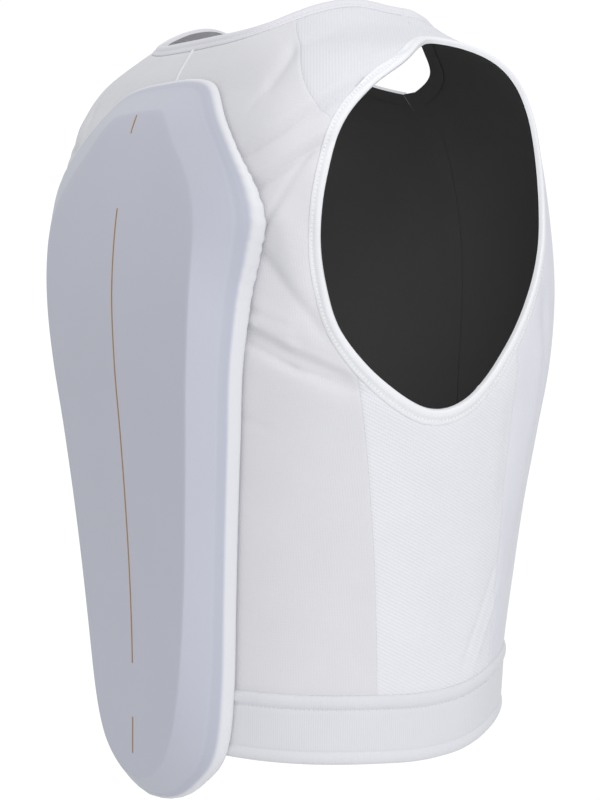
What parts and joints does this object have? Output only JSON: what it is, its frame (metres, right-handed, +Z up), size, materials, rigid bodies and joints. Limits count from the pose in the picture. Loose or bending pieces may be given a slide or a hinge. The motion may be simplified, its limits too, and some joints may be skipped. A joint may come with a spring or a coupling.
{
  "type": "equestrian back protector vest",
  "caption": "Sleeveless stretch vest with a bevelled foam pad over the spine, mesh shoulders and sides, bound neck and armholes, and a firm hem band.",
  "frame": {"origin": "middle of the neck opening at the height of the shoulder tops", "axes": "+Z up along the spine, +Y out of the wearer's back, +X to the wearer's left"},
  "size_m": [0.3256, 0.2691, 0.4865],
  "materials": {
    "stretch_cloth": "smooth matt knitted stretch cloth, warm white",
    "mesh_cloth": "matt knitted mesh with a fine raised texture, white",
    "binding_tape": "folded matt elastic tape, bright white",
    "band_cloth": "firm double knitted band, white",
    "pad_foam": "moulded foam under a smooth laminated cloth face, pale grey-blue",
    "zip_plastic": "white moulded zip on woven tape"
  },
  "bodies": {
    "root": {"back_panel": "stretch_cloth", "front_panel_left": "stretch_cloth", "front_panel_right": "stretch_cloth", "shoulder_yoke_left": "mesh_cloth", "shoulder_yoke_right": "mesh_cloth", "side_panel_left": "mesh_cloth", "side_panel_right": "mesh_cloth", "neck_binding": "binding_tape", "armhole_binding_left": "binding_tape", "armhole_binding_right": "binding_tape", "hem_band": "band_cloth", "front_zip": "zip_plastic", "back_pad": "pad_foam"}
  },
  "joints": []
}
